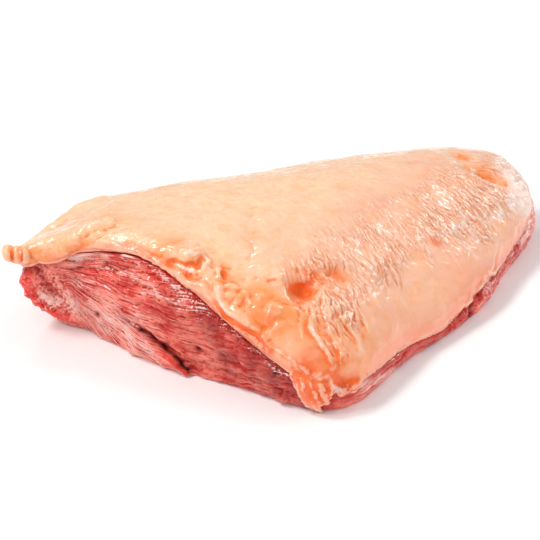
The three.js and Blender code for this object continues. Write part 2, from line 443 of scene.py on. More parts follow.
# shape, radius in mm, rise in mm, and where the stroke is drawn
CAP_FORMS = {
    "pit": (swell, 7.4, -4.2, [(300, 290)]),
    "pit's brow": (lip, 5.0, 1.6, [(296, 305), (287, 296), (281, 284), (277, 274), (266, 268)]),
    "pit's approach": (swell, 6.0, -1.1, [(311, 284), (320, 281)]),
    "bridge": (swell, 3.2, 1.0, [(308, 306), (317, 300), (326, 299), (333, 305)]),
    "dent": (swell, 5.5, -1.8, [(337, 275)]),
    "bulge": (swell, 8.0, 1.6, [(252, 284), (266, 286)]),
    "shelf": (ledge, 3.0, 0.7, [(318, 314), (303, 310), (290, 306)]),
    "lump over the groove": (swell, 4.4, 1.5, [(180, 253), (197, 253)]),
    "groove": (swell, 2.2, -1.5, [(169, 261), (182, 262), (194, 264), (202, 263)]),
    "step over the cut": (ledge, 3.6, 1.5, [
        (262, 340), (252, 332), (243, 325), (230, 319), (219, 305), (213, 292),
        (203, 284), (190, 277), (172, 269), (156, 260), (135, 250), (112, 242),
    ]),
    "behind the scallops": (swell, 3.0, -1.0, [(236, 297), (246, 306), (256, 318)]),
    "left hollow": (swell, 6.0, -0.8, [(98, 228), (122, 228)]),
    "under the roll": (ledge, 3.4, 1.2, [(95, 241), (80, 250), (64, 258), (48, 261), (34, 257)]),
    "mound by the folds": (swell, 6.0, 1.0, [(300, 338), (312, 352)]),
    "fold a": (lip, 3.0, 1.0, [(313, 316), (312, 330), (320, 344), (329, 358)]),
    "fold b": (lip, 3.0, 1.0, [(326, 312), (331, 328), (338, 344), (343, 360)]),
    "fold c": (lip, 3.0, 0.9, [(340, 312), (347, 326), (354, 338), (360, 350)]),
    "glossy ridge": (swell, 3.4, 0.9, [(260, 299), (254, 309), (250, 317)]),
    "under the skyline fold": (swell, 5.0, -1.7, [(48, 227), (57, 222), (64, 218)]),
    "skyline fold": (swell, 5.5, 1.5, [(80, 207), (90, 203), (100, 200)]),
    "corner mound": (swell, 6.0, 0.8, [(345, 352), (352, 368)]),
    "tip hollow a": (swell, 5.0, -1.5, [(456, 156), (467, 158)]),
    "tip hollow b": (swell, 5.6, -1.8, [(466, 167), (478, 172)]),
    "tip hollow c": (swell, 6.2, -2.2, [(492, 178)]),
    "tip mound": (swell, 7.0, 1.1, [(478, 160), (492, 164)]),
    "far right mound": (swell, 6.0, 1.0, [(510, 176), (520, 190)]),
}

# radius and depth of the middle under the surface in mm, and where the cord of balls lies
CAP_BEADS = {
    "scallop a": (3.5, 1.3, [(218, 289), (220, 297)]),
    "scallop b": (3.8, 1.5, [(224, 306), (228, 309)]),
    "scallop c": (3.6, 1.7, [(235, 312), (239, 315)]),
    "scallop d": (3.8, 1.8, [(244, 319), (248, 322)]),
    "scallop e": (3.3, 1.6, [(254, 326), (259, 329)]),
    "disc a": (2.6, 1.2, [(229, 287), (234, 288)]),
    "disc b": (2.4, 1.2, [(228, 295), (233, 296)]),
    "disc c": (2.3, 1.2, [(236, 304), (240, 298)]),
    "drop a": (1.9, 1.0, [(244, 293), (246, 295)]),
    "drop b": (1.8, 1.0, [(249, 301), (250, 304)]),
    "round lump": (6.2, 4.0, [(273, 314)]),
    "strip knot a": (1.6, 0.3, [(497, 266), (493, 274)]),
    "strip knot b": (1.4, 0.3, [(487, 284), (481, 290)]),
    "strip knot c": (1.5, 0.4, [(473, 299), (468, 304)]),
    "top of the groove's lump": (2.6, 1.2, [(183, 252), (191, 254), (198, 252)]),
    "lump past the groove": (2.6, 0.8, [(207, 262), (205, 269)]),
    "lump under the groove a": (1.6, 0.3, [(176, 264), (184, 268)]),
    "lump under the groove b": (1.7, 0.3, [(191, 270), (196, 271)]),
    "nodule": (1.9, 0.6, [(218, 271), (219, 278)]),
    "knob a": (3.2, 0.4, [(8, 251), (9, 256)]),
    "knob b": (2.3, 0.0, [(16, 250), (18, 259)]),
    "knob c": (2.8, 0.8, [(25, 253), (26, 259)]),
    "roll": (5.2, 3.9, [(34, 250), (44, 252), (55, 251), (66, 246), (78, 239)]),
    "roll fading": (5.2, 4.5, [(78, 239), (86, 235)]),
    "roll's end": (5.2, 4.95, [(86, 235), (98, 231), (108, 228)]),
    "drape a": (1.6, 0.5, [(292, 372), (297, 384), (301, 394), (308, 404)]),
    "drape b": (1.9, 0.8, [(301, 378), (306, 390), (312, 401), (319, 409)]),
    "drape c": (1.5, 0.3, [(310, 381), (313, 391), (320, 404)]),
    "drape d": (1.9, 0.9, [(319, 381), (322, 390), (326, 400)]),
    "drape e": (1.5, 0.4, [(329, 378), (331, 387), (329, 396)]),
    "second bit a": (1.9, 0.6, [(342, 392), (347, 389)]),
    "second bit b": (1.6, 0.2, [(353, 387), (359, 383)]),
}

# as the large forms, on the fine skin
CAP_RELIEF = {
    "pit floor": (swell, 3.4, -1.4, [(299, 291)]),
    "pit's right wall": (swell, 2.4, 0.6, [(314, 297), (320, 294), (327, 289)]),
    "pit's lines a": (crease, 0.8, -0.7, [(306, 270), (308, 278), (305, 287)]),
    "pit's lines b": (crease, 0.8, -0.7, [(316, 273), (314, 281), (309, 290)]),
    "pit's lines c": (crease, 0.8, -0.5, [(297, 268), (300, 278)]),
    "pit's lines d": (crease, 0.8, -0.6, [(325, 282), (317, 287), (309, 294)]),
    "bulge crest": (crease, 1.4, 0.3, [(235, 272), (249, 270), (266, 268), (276, 275)]),
    "brow line": (crease, 1.0, 0.6, [(281, 268), (284, 276), (288, 284)]),
    "slit": (crease, 0.8, -1.3, [(268, 282), (275, 280)]),
    "under the scallops": (crease, 1.3, -1.1, [
        (210, 294), (216, 304), (222, 315), (233, 321), (243, 329), (254, 335), (262, 341),
    ]),
    "under the lump": (swell, 2.0, -0.8, [(263, 326), (270, 326)]),
    "orange slot": (crease, 1.2, -1.0, [(223, 267), (232, 268)]),
    "small hollow": (swell, 1.8, -1.2, [(225, 274)]),
    "groove": (crease, 1.2, -0.8, [(169, 261), (182, 263), (193, 264)]),
    "groove's end": (crease, 1.0, -1.0, [(202, 256), (205, 261)]),
    "fold a": (lip, 1.6, 0.8, [(311, 312), (310, 326), (317, 338), (326, 352), (330, 361)]),
    "fold b": (lip, 1.5, 0.8, [(323, 311), (327, 326), (332, 339), (338, 351), (340, 364)]),
    "fold c": (lip, 1.5, 0.7, [(336, 308), (342, 319), (349, 330), (355, 338), (359, 348)]),
    "fold d": (lip, 1.2, 0.6, [(341, 291), (351, 299), (358, 309), (364, 320), (369, 333)]),
    "fold e": (lip, 1.4, 0.6, [(300, 312), (299, 324), (302, 337)]),
    "fold f": (lip, 1.0, 0.5, [(318, 330), (325, 343), (334, 355)]),
    "fold g": (lip, 1.0, 0.5, [(331, 325), (340, 340), (347, 352)]),
    "furrow a": (crease, 1.2, -0.9, [(318, 316), (319, 330), (325, 343), (333, 356)]),
    "furrow b": (crease, 1.2, -0.9, [(331, 314), (336, 328), (343, 342), (348, 355)]),
    "wedge": (lip, 3.0, 0.6, [(281, 322), (273, 328), (264, 333)]),
    "corner lip": (lip, 3.0, 0.6, [
        (284, 355), (294, 361), (304, 369), (316, 375), (326, 376), (332, 372), (336, 366),
    ]),
    "under the lip": (crease, 1.4, -1.4, [(298, 374), (306, 379), (318, 382), (328, 381)]),
    "drape string a": (crease, 0.9, -0.5, [(297, 377), (303, 391), (311, 404)]),
    "drape string c": (crease, 0.9, -0.5, [(315, 382), (319, 394), (324, 404)]),
    "over the band": (lip, 1.2, 0.7, [(262, 338), (272, 347), (284, 356)]),
    "crease on the middle": (crease, 1.2, 0.35, [(252, 204), (246, 218), (254, 231)]),
    "crease under it": (crease, 1.3, -0.4, [(245, 238), (254, 249), (249, 258)]),
    "wavy ridge left": (crease, 0.9, 0.45, [(307, 244), (309, 250), (306, 256), (307, 262)]),
    "wavy ridge right": (crease, 0.9, 0.45, [(329, 245), (332, 252), (330, 262)]),
    "arc": (crease, 1.0, 0.4, [(331, 239), (341, 243), (344, 252)]),
    "fold line on the left": (crease, 1.5, -0.7, [(104, 221), (97, 217), (85, 217), (70, 220), (60, 226)]),
    "knob valley a": (crease, 0.8, -0.9, [(13, 248), (12, 262)]),
    "knob valley b": (crease, 0.8, -0.9, [(21, 250), (22, 263)]),
    "tip crease": (crease, 1.4, -1.0, [(474, 174), (482, 177), (490, 181), (500, 183)]),
    "tip hollow d": (swell, 3.0, -0.7, [(474, 187), (483, 190)]),
    "tip hollow e": (swell, 3.0, -0.9, [(506, 185), (513, 191), (518, 199)]),
    "top mark a": (swell, 2.0, -0.4, [(361, 171), (368, 170)]),
    "top mark b": (swell, 2.0, -0.4, [(410, 162), (421, 162)]),
    "top mark c": (swell, 2.0, -0.3, [(305, 177), (312, 177)]),
    "wrinkle a": (crease, 1.3, -0.4, [(382, 268), (388, 284), (386, 300)]),
    "wrinkle b": (crease, 1.1, 0.5, [(365, 286), (373, 297), (380, 308)]),
    "wrinkle c": (crease, 1.1, 0.5, [(392, 255), (401, 263), (412, 272)]),
    "wrinkle d": (crease, 1.1, 0.5, [(347, 316), (358, 326), (368, 337)]),
    "wrinkle e": (crease, 1.1, 0.5, [(357, 300), (367, 310), (374, 322)]),
    "slope's edge": (ledge, 1.6, 0.5, [
        (362, 385), (384, 373), (402, 360), (422, 348), (449, 325), (467, 311), (476, 295), (490, 279),
        (497, 250),
    ]),
}

# shape, radius in mm, share of a tint, and where it is drawn: orange, warm and pale places of the fat; the
# orange and warm tints are partly painted shade in pits, dents, grooves and hollows, and the pale one
# partly painted highlights and sheen
CAP_BLUSH_AND_HOLLOW_SHADE = {
    "front": (swell, 13.0, 0.22, [(250, 312), (272, 322), (296, 338), (322, 352), (345, 364)]),
    "pit": (swell, 5.0, 1.35, [(299, 291)]),
    "round the pit": (swell, 9.0, 0.35, [(298, 284), (314, 282), (326, 280)]),
    "pit's lines": (swell, 1.6, 0.5, [(312, 272), (308, 282)]),
    "cut band": (swell, 2.6, 0.8, [
        (214, 303), (222, 316), (233, 324), (245, 331), (258, 341), (272, 352),
    ]),
    "cut band above": (swell, 2.6, 0.55, [(150, 259), (175, 272), (196, 284), (206, 292)]),
    "dent": (swell, 4.5, 0.5, [(338, 275)]),
    "corner lip": (swell, 2.0, 0.4, [
        (284, 355), (294, 361), (304, 369), (316, 375), (326, 376), (334, 368),
    ]),
    "corner's right": (swell, 8.0, 0.3, [(345, 362), (345, 378)]),
    "groove": (swell, 1.8, 0.8, [(169, 261), (182, 263), (193, 264)]),
    "slit": (swell, 1.2, 0.8, [(268, 282), (275, 280)]),
    "round lump": (swell, 5.0, 0.35, [(271, 318)]),
    "near corner": (swell, 5.0, 0.35, [(309, 356), (318, 352)]),
    "drape": (swell, 9.0, 0.85, [(306, 388), (320, 396)]),
    "second bit": (swell, 5.0, 0.8, [(340, 388), (356, 386)]),
    "knob": (swell, 6.0, 0.5, [(8, 256), (25, 259)]),
    "knob valley a": (swell, 0.9, 0.9, [(12, 251), (12, 262)]),
    "knob valley b": (swell, 0.9, 0.9, [(22, 252), (22, 263)]),
    "roll's underside": (swell, 2.4, 0.5, [(50, 261), (65, 257), (80, 249), (95, 243)]),
    "top mark a": (swell, 3.0, 0.3, [(361, 171), (368, 170)]),
    "top mark b": (swell, 3.0, 0.4, [(410, 162), (421, 162)]),
    "slope patch a": (swell, 3.5, 0.35, [(437, 242), (446, 244), (456, 246)]),
    "slope patch b": (swell, 3.5, 0.35, [(418, 236), (426, 239), (434, 243)]),
    "slope patch c": (swell, 4.0, 0.3, [(366, 300), (378, 314)]),
    "crease": (swell, 3.0, 0.3, [(252, 240), (254, 249), (249, 258)]),
}

# warm tone of the fat, with painted shade in the tip's hollows, the small hollow, the dent and the pit
CAP_WARM_AND_HOLLOW_SHADE = {
    "tip hollow a": (swell, 4.6, 0.8, [(456, 156), (467, 158)]),
    "tip hollow b": (swell, 4.6, 0.8, [(466, 167), (480, 171)]),
    "tip hollow c": (swell, 5.0, 0.8, [(488, 174), (497, 182)]),
    "tip's end": (swell, 4.0, 0.5, [(506, 186), (516, 196)]),
    "slope": (swell, 26.0, 0.3, [(385, 325), (430, 300), (470, 260)]),
    "small hollow": (swell, 2.4, 0.8, [(224, 268), (226, 275)]),
    "knob": (swell, 9.0, 1.1, [(15, 255)]),
    "roll": (swell, 5.0, 0.5, [(40, 256), (60, 254), (80, 246), (98, 238)]),
    "dent": (swell, 8.0, 0.5, [(338, 275)]),
    "top": (swell, 12.0, 0.15, [(385, 215), (420, 205)]),
    "pit": (swell, 9.0, 0.6, [(300, 286), (318, 284)]),
    "left": (swell, 15.0, 0.35, [(60, 235), (95, 222), (130, 222), (165, 238)]),
    "front ridge": (swell, 12.0, 0.6, [(170, 262), (205, 272), (240, 292), (270, 305)]),
    "left top": (swell, 16.0, 0.3, [(110, 210), (80, 215)]),
    "corner": (swell, 22.0, 0.75, [(280, 325), (320, 345), (350, 360)]),
}

# pale tone at the tip and the second bit; painted highlights on the glossy lumps, scallops, ridges and
# folds, and a painted sheen on the right slope
CAP_PALE_AND_HIGHLIGHTS = {
    "tip": (swell, 12.0, 1.0, [(508, 165), (520, 182), (524, 200)]),
    "sheen": (swell, 13.0, 0.55, [(458, 232), (484, 214), (512, 210)]),
    "crinkles": (swell, 22.0, 0.2, [(385, 240), (420, 245), (450, 250)]),
    "left fold": (swell, 6.0, 0.5, [(70, 218), (88, 214), (104, 219)]),
    "second bit": (swell, 2.5, 0.9, [(333, 386), (339, 390)]),
    "groove's lump": (swell, 2.6, 0.75, [(183, 253), (190, 252), (197, 254)]),
    "lump past the groove": (swell, 2.8, 0.75, [(207, 262), (204, 270)]),
    "under the groove": (swell, 2.0, 0.7, [(174, 264), (184, 268), (192, 270)]),
    "scallops": (swell, 2.4, 0.7, [(218, 288), (219, 296), (222, 304), (230, 313), (238, 316)]),
    "glossy ridge": (swell, 1.8, 0.5, [(260, 298), (255, 306), (250, 315)]),
    "wedge": (swell, 2.4, 0.5, [(266, 331), (274, 327), (279, 324)]),
    "pit's brow": (swell, 1.8, 0.5, [(282, 270), (286, 280), (291, 292)]),
    "folds": (swell, 1.4, 0.9, [(313, 328), (319, 342), (327, 354)]),
    "folds beside": (swell, 1.2, 0.8, [(326, 330), (333, 345), (338, 353)]),
    "along the slope's edge": (swell, 2.4, 0.4, [(497, 256), (490, 276), (478, 292), (468, 307)]),
}

CAP_FINENESS = 0.66                               # mm, the size of its faces

# shape, radius in mm, share of the crinkles added or taken away, and where
CAP_CRINKLED = {
    "folds": (swell, 9.0, 0.7, [(345, 325), (352, 345)]),
    "over the pit": (swell, 6.0, 0.5, [(310, 268), (325, 262)]),
    "sheen": (swell, 15.0, 0.6, [(450, 235), (480, 215), (508, 205)]),
    "smooth corner": (swell, 13.0, -1.3, [(255, 290), (285, 328), (312, 358)]),
    "smooth lower slope": (swell, 14.0, -0.8, [(372, 350), (400, 332), (440, 308)]),
    "smooth pit": (swell, 7.0, -1.0, [(300, 290)]),
    "smooth dent": (swell, 5.0, -0.9, [(338, 275)]),
}

# shape, radius in mm, share of the small lumps added, and where
CAP_LUMPY = {
    "groove's lumps": (swell, 4.5, 1.8, [(180, 253), (197, 255), (208, 266), (190, 270)]),
    "behind the scallops": (swell, 4.0, 0.8, [(222, 285), (238, 298), (250, 312)]),
    "rim": (swell, 3.5, 0.8, [(36, 245), (62, 240), (84, 231), (108, 229), (130, 234), (156, 248)]),
    "corner": (swell, 7.0, 1.8, [(300, 386), (320, 392), (350, 388)]),
    "lip": (swell, 3.0, 1.0, [(284, 355), (304, 369), (326, 376)]),
    "tip's end": (swell, 7.0, 2.4, [(508, 168), (520, 184), (524, 200)]),
}

FAN_CENTRE = (-30.0, 160.0)                       # mm, where the lines of the right slope would meet
FAN_REACH = 200.0                                 # mm from there to the slope
RIGHT_EDGE = (-52.0, -88.0)                       # mm, a place on the right edge
OUTWARD = (0.48, -0.877)                          # the way out over that edge


def cap_grain(places):
    """How far each place lies across and along the lines that run down the slopes, all in mm."""
    x, y = places[:, 0] - FAN_CENTRE[0], FAN_CENTRE[1] - places[:, 1]
    return np.arctan2(x, y) * FAN_REACH, np.hypot(x, y)


def outer_share(mesh):
    """1 where a mesh faces up or sideways, and 0 on its underside."""
    return grown(read_points(mesh, "normal")[:, 2], -0.6, -0.2)


def crinkle_share(places, crinkled):
    """How strongly the fat is crinkled: in patches on the right slope, and more or less where drawn."""
    inland = -(places[:, :2] - RIGHT_EDGE) @ OUTWARD
    patches = bumps(places, (20, 20, 20), 2, 3)
    slope = grown(inland + 10 * patches, 50, 32) * grown(inland + 8 * patches, 0, 10)
    return np.clip(slope * (0.8 + 0.5 * patches) + crinkled, 0, 1.2)


def cap_texture(places, lumpy, crinkle):
    """Small relief of the fat, in mm, with crinkles down the right slope and softer folds elsewhere."""
    grain, run = cap_grain(places)
    wander = 3.0 * bumps(places, (13, 13, 13), 2, 3)
    ridges = bumps(np.column_stack([grain + wander, run, places[:, 2]]), (1.3, 7.0, 60), 2, 4)
    sharp_lines = np.exp(-np.abs(ridges) / 0.12)
    waves = 0.5 * bumps(places, (26, 26, 26), 2, 1)
    dimples = 0.15 * bumps(places, (5.5, 5.5, 5.5), 2, 2)
    lumps = 0.3 * lumpy * bumps(places, (3.2, 3.2, 3.2), 2, 12)
    crinkles = 0.5 * crinkle * (ridges + 0.9 * sharp_lines)
    soft_folds = 0.2 * (1 - crinkle) * bumps(places, (16, 4.0, 9), 2, 5)
    fine_grain = 0.06 * bumps(places, (1.9, 1.9, 1.9), 2, 6)
    return waves + dimples + lumps + crinkles + soft_folds + fine_grain


def make_cap():
    piece = welded_copy("fat_cap", "fat_cap_skin")
    reskin(piece, COARSE, smoothing=12)
    raise_points(piece.data, drawn(piece, CAP_FORMS) * outer_share(piece.data))
    join_beads(piece, CAP_BEADS)
    reskin(piece, CAP_FINENESS, smoothing=3)
    points, facing = read_points(piece.data), read_points(piece.data, "normal")
    hidden = (nearness(points, lean_solid) < COVERED) & (facing[:, 2] < -0.3)
    thin_out(piece, hidden, share=0.05)
    mesh = piece.data
    rest_on_floor(mesh)
    outer = outer_share(mesh)
    seam = nearness(read_points(mesh), lean_solid)
    lumpy = drawn(piece, CAP_LUMPY)
    crinkle = crinkle_share(read_points(mesh) / MM, drawn(piece, CAP_CRINKLED))
    sunk = BEDDING * (1 - outer) * grown(seam, 2.0, 0.8)
    raise_points(mesh, drawn(piece, CAP_RELIEF) * outer + sunk)
    raise_points(mesh, cap_texture(read_points(mesh) / MM, lumpy, crinkle) * outer)
    rest_on_floor(mesh)
    grain, run = cap_grain(read_points(mesh) / MM)
    write_fields(mesh, {
        "grain": grain,
        "run": run,
        "hollow": hollowness(mesh, 8),
        "basin": hollowness(mesh, 60),
        # the blush, warm and pale masks hold painted shade and painted highlights as well as the fat's own
        # tints
        "blush_and_hollow_shade": drawn(piece, CAP_BLUSH_AND_HOLLOW_SHADE),
        "warm_and_hollow_shade": drawn(piece, CAP_WARM_AND_HOLLOW_SHADE),
        "pale_and_highlights": drawn(piece, CAP_PALE_AND_HIGHLIGHTS),
        "seam": seam,
        "crinkle": crinkle,
    })
    keep_to_limit(piece)
    return piece


# the fat's colours, as read on a screen
FAT_COLOURS = {
    "cream": (255, 206, 166),
    "peach": (254, 192, 160),
    "broad patches": (255, 182, 130),
    "small patches": (255, 180, 134),
    "milky streaks": (255, 222, 196),
    # painted highlight on the crinkles' crests, and painted shade in their furrows and wrinkle lines
    "crinkle highlights": (255, 222, 200),
    "crinkle furrow shade": (246, 144, 98),
    "wrinkles_with_shade": (232, 124, 82),
    "toward the lean": (252, 138, 106),
    "at the lean": (236, 76, 54),
    # the fat's own warm tone, with painted shade in its dents and hollows
    "warm_and_hollow_shade": (248, 150, 78),
    # the fat's own orange, with painted shade in pits, grooves, slits and valleys; the deepest tint is
    # mostly painted shade in the pit's floor
    "blush_and_hollow_shade": (240, 96, 26),
    "deep blush and pit shade": (176, 46, 6),
    # painted shade in large hollows
    "basin shade": (244, 124, 40),
    # painted shade in small hollows
    "valley_shade": (242, 112, 40),
    # painted highlight on raised places
    "crest highlights": (255, 222, 190),
    # the fat's own pale tone, with painted highlights and sheen
    "pale_and_highlights": (255, 230, 220),
}


def fat_finish():
    recipe = Recipe("fat")
    split = recipe.add("ShaderNodeSeparateXYZ", {0: recipe.place})
    outward = [recipe.times(split.outputs[axis], share) for axis, share in zip("XY", OUTWARD)]
    patches = recipe.times(recipe.math("SUBTRACT", recipe.noise(24, 3), 0.5), 0.12)
    rightward = recipe.between(recipe.plus(recipe.plus(*outward), patches), -0.035, 0.035)
    base = recipe.mix(rightward, colour(*FAT_COLOURS["cream"]), colour(*FAT_COLOURS["peach"]))
    lines, crinkle, hollow = recipe.streaks(1.0, 6), recipe.field("crinkle"), recipe.field("hollow")
    middle = recipe.math("ABSOLUTE", recipe.math("SUBTRACT", lines, 0.5))
    # the crinkle lines' middles, sunk in the bump and painted with shade
    wrinkles_with_shade = recipe.times(crinkle, recipe.between(middle, 0.025, 0.0))
    seam, warm_and_hollow_shade, blush_and_hollow_shade = recipe.field("seam"), recipe.field("warm_and_hollow_shade"), recipe.field("blush_and_hollow_shade")
    # painted shade in small hollows, stronger where the warm tint is drawn
    valley_shade = recipe.times(recipe.between(hollow, 0.02, 0.24), recipe.between(warm_and_hollow_shade, 0.0, 0.8, 0.3, 0.85))
    # mask of the pale tone with painted highlights, following the crinkle lines where the fat is crinkled
    mottled_pale_and_highlights = recipe.plus(recipe.field("pale_and_highlights"), recipe.blend(crinkle, recipe.noise(1.8, 4), lines))
    base = recipe.coats(base, {
        "broad patches": recipe.between(recipe.noise(9, 4), 0.45, 0.72, 0, 0.6),
        "small patches": recipe.between(recipe.noise(3.5, 4), 0.5, 0.7, 0, 0.4),
        "milky streaks": recipe.between(recipe.streaks(4, 12), 0.52, 0.75, 0, 0.35),
        # painted highlight on the crinkles' crests, painted shade in their furrows and wrinkle lines
        "crinkle highlights": recipe.times(crinkle, recipe.between(lines, 0.51, 0.64, 0, 0.6)),
        "crinkle furrow shade": recipe.times(crinkle, recipe.between(lines, 0.46, 0.34, 0, 0.8)),
        "wrinkles_with_shade": recipe.times(wrinkles_with_shade, 0.75),
        "toward the lean": recipe.between(seam, 7.0, 3.0, 0, 0.7),
        "at the lean": recipe.between(seam, 2.4, 0.8, 0, 0.75),
        # the fat's own warm tone with painted shade in dents and hollows
        "warm_and_hollow_shade": recipe.between(warm_and_hollow_shade, 0.1, 1.1, 0, 0.9),
        # the fat's own orange with painted shade in pits, grooves and valleys, and deeper painted shade in
        # the pit
        "blush_and_hollow_shade": recipe.between(blush_and_hollow_shade, 0.05, 1.1),
        "deep blush and pit shade": recipe.between(blush_and_hollow_shade, 1.0, 1.5),
        # painted shade in large hollows
        "basin shade": recipe.between(recipe.field("basin"), 0.15, 1.6, 0, 0.7),
        "valley_shade": valley_shade,
        # painted highlight on raised places
        "crest highlights": recipe.between(hollow, -0.03, -0.3, 0, 0.4),
        # pale tone with painted highlights and sheen
        "pale_and_highlights": recipe.between(mottled_pale_and_highlights, 0.95, 1.4, 0, 0.75),
    }, FAT_COLOURS)
    shader = recipe.add("ShaderNodeBsdfPrincipled", {
        "Base Color": base,
        "Roughness": 0.4,
        "Specular IOR Level": 0.3,
        "Subsurface Weight": 0.35,
        "Subsurface Radius": (1.0, 0.6, 0.4),
        "Subsurface Scale": 1.2 * MM,
        "Coat Weight": recipe.between(hollow, 0.12, -0.04, 0.15, 0.9),
        "Coat Roughness": 0.12,
    })
    ridged = recipe.times(lines, recipe.times(crinkle, 2.4))
    height = recipe.math("SUBTRACT", recipe.plus(recipe.noise(1.3, 4), ridged), wrinkles_with_shade)
    return recipe.finish(shader, height, 0.17)


# -------------------------------- the lean

# paths of the picture that are both raised and tinted
BAND_LINE = [(66, 268), (78, 269), (90, 267), (104, 267), (116, 270), (131, 264)]
STREAK_A = [(124, 256), (133, 259), (140, 265)]
STREAK_B = [(162, 276), (168, 281), (176, 288)]
STREAK_C = [(119, 269), (133, 276), (150, 284), (158, 293)]
STREAK_D = [(143, 292), (156, 294), (167, 299), (182, 304), (196, 312)]
FLAP_SLIT = [(139, 330), (146, 334), (158, 343), (171, 353), (181, 362), (189, 370)]
FLAP_EDGE = [(138, 335), (148, 342), (159, 352), (170, 361), (180, 369), (188, 375)]

# the tables of the lean, laid out as the cap's
LEAN_BEADS = {
    "tag": (1.4, 0.4, [(285, 391), (284, 403)]),
    "strip knot a": (2.4, 0.7, [(479, 297), (486, 293)]),
    "strip knot b": (1.8, 0.4, [(470, 306), (466, 313)]),
    "strip knot c": (1.6, 0.3, [(498, 272), (492, 281)]),
}

LEAN_RELIEF = {
    "red edge": (swell, 2.6, 1.5, [(25, 277), (29, 293), (37, 305), (52, 313), (68, 317)]),
    "ragged hollow a": (swell, 2.4, -1.8, [(31, 265), (38, 272)]),
    "ragged hollow b": (swell, 2.6, -2.2, [(42, 278), (46, 286)]),
    "ragged hollow c": (swell, 2.2, -1.8, [(53, 292), (58, 297)]),
    "band's lower line": (crease, 1.1, -1.0, BAND_LINE),
    "thin band": (swell, 3.2, 0.9, [(72, 259), (90, 255), (108, 258), (124, 258)]),
    "streak a": (crease, 1.2, 0.8, STREAK_A),
    "streak b": (crease, 1.2, 0.8, STREAK_B),
    "streak c": (crease, 1.2, 0.8, STREAK_C),
    "streak d": (crease, 1.2, 0.8, STREAK_D),
    "streak e": (crease, 1.0, 0.7, [(116, 279), (128, 283)]),
    "flap's slit": (crease, 1.7, -3.4, FLAP_SLIT),
    "flap's edge": (crease, 1.3, 1.8, FLAP_EDGE),
    "spot a": (swell, 1.6, -1.5, [(97, 316)]),
    "spot b": (swell, 1.6, -1.4, [(199, 350)]),
    "fissure a": (crease, 1.2, -0.7, [(150, 318), (170, 322), (190, 333), (206, 340)]),
    "fissure b": (crease, 1.2, -0.7, [(205, 345), (228, 360), (248, 372)]),
    "fissure c": (crease, 1.2, -0.7, [(240, 345), (256, 358), (272, 376)]),
    "fissure d": (crease, 1.2, -0.7, [(92, 322), (108, 330), (124, 334)]),
    "tear": (swell, 2.0, -2.5, [(471, 306), (471, 316)]),
    "dip a": (swell, 3.4, -0.4, [(250, 350), (254, 366)]),
    "dip b": (swell, 3.0, -0.4, [(204, 314), (212, 326)]),
    "dip c": (swell, 3.0, -0.4, [(226, 356), (232, 368)]),
    "dip d": (swell, 3.0, -0.3, [(118, 312), (126, 322)]),
}

# the meat's own pale tissue, with painted highlights along the wet streaks and on the wet bits
LEAN_PALE_AND_HIGHLIGHTS = {
    "left face": (swell, 20.0, 0.35, [(60, 285), (95, 300), (130, 320)]),
    "thin band": (swell, 3.6, 0.4, [(72, 259), (90, 255), (108, 258)]),
    "wet bits": (swell, 2.4, 0.6, [(44, 296), (56, 302)]),
    "streak a": (crease, 0.9, 1.0, STREAK_A),
    "streak b": (crease, 0.9, 0.9, STREAK_B),
    "streak c": (crease, 0.9, 0.8, STREAK_C),
    "streak d": (crease, 0.9, 0.8, STREAK_D),
    "lower left": (swell, 12.0, 0.35, [(80, 315), (115, 335), (150, 352)]),
    "right strip": (swell, 3.0, 0.6, [(484, 292), (497, 272), (510, 252)]),
    "far end": (swell, 5.0, 0.8, [(531, 196), (530, 215), (524, 240)]),
    "front right": (swell, 4.0, 0.6, [(362, 386), (380, 378), (395, 370)]),
}

# darker and mauve patches of the meat, with painted shade in the ragged hollow, the band's line, the slit,
# the tear, the spots and under the cap's edge
LEAN_DARK_AND_SHADE = {
    "ragged hollow": (swell, 2.8, 0.8, [(31, 265), (38, 272), (42, 278), (46, 286), (54, 293)]),
    "band's lower line": (crease, 1.1, 0.8, BAND_LINE),
    "flap's slit": (crease, 1.3, 1.7, FLAP_SLIT),
    "upper right": (swell, 14.0, 0.42, [(170, 300), (205, 322), (250, 350), (290, 385)]),
    "lower right": (swell, 14.0, 0.35, [(200, 355), (250, 380), (300, 400)]),
    "beside the band": (swell, 9.0, 0.2, [(130, 285), (150, 310)]),
    # painted shade under the cap's edge
    "under the seam": (swell, 2.6, 0.3, [(188, 292), (228, 326), (268, 360), (288, 378)]),
    "tear": (swell, 2.4, 1.2, [(471, 304), (471, 316)]),
    "spot a": (swell, 1.8, 1.0, [(97, 316)]),
    "spot b": (swell, 1.8, 1.0, [(199, 350)]),
    "mauve a": (swell, 3.6, 0.35, [(250, 350), (254, 366)]),
    "mauve b": (swell, 3.6, 0.35, [(204, 314), (212, 326)]),
    "mauve c": (swell, 3.6, 0.3, [(226, 356), (232, 368)]),
    "mauve d": (swell, 4.0, 0.35, [(272, 376), (276, 390)]),
    "mauve e": (swell, 3.0, 0.4, [(118, 312), (126, 322)]),
}

LEAN_RED = {
    "left edge": (swell, 4.5, 1.1, [(25, 270), (29, 293), (37, 305), (52, 313), (68, 317)]),
    "flap's edge": (swell, 1.3, 1.3, FLAP_EDGE),
    "upper left": (swell, 9.0, 0.6, [(90, 275), (120, 290), (145, 300)]),
    "beside the seam": (swell, 4.0, 0.7, [(150, 270), (185, 298), (225, 330), (262, 362)]),
}

# where the meat is torn into scraps, and where beads of moisture stand on it, raised in the mesh and with
# painted glints among them
LEAN_RAGGED = {
    "left end": (swell, 9.0, 1.0, [(28, 272), (38, 292), (52, 304), (64, 312)]),
    "behind it": (swell, 7.0, 0.7, [(44, 272), (60, 292)]),
    "right strip": (swell, 7.0, 0.8, [(455, 325), (475, 302), (500, 268)]),
}

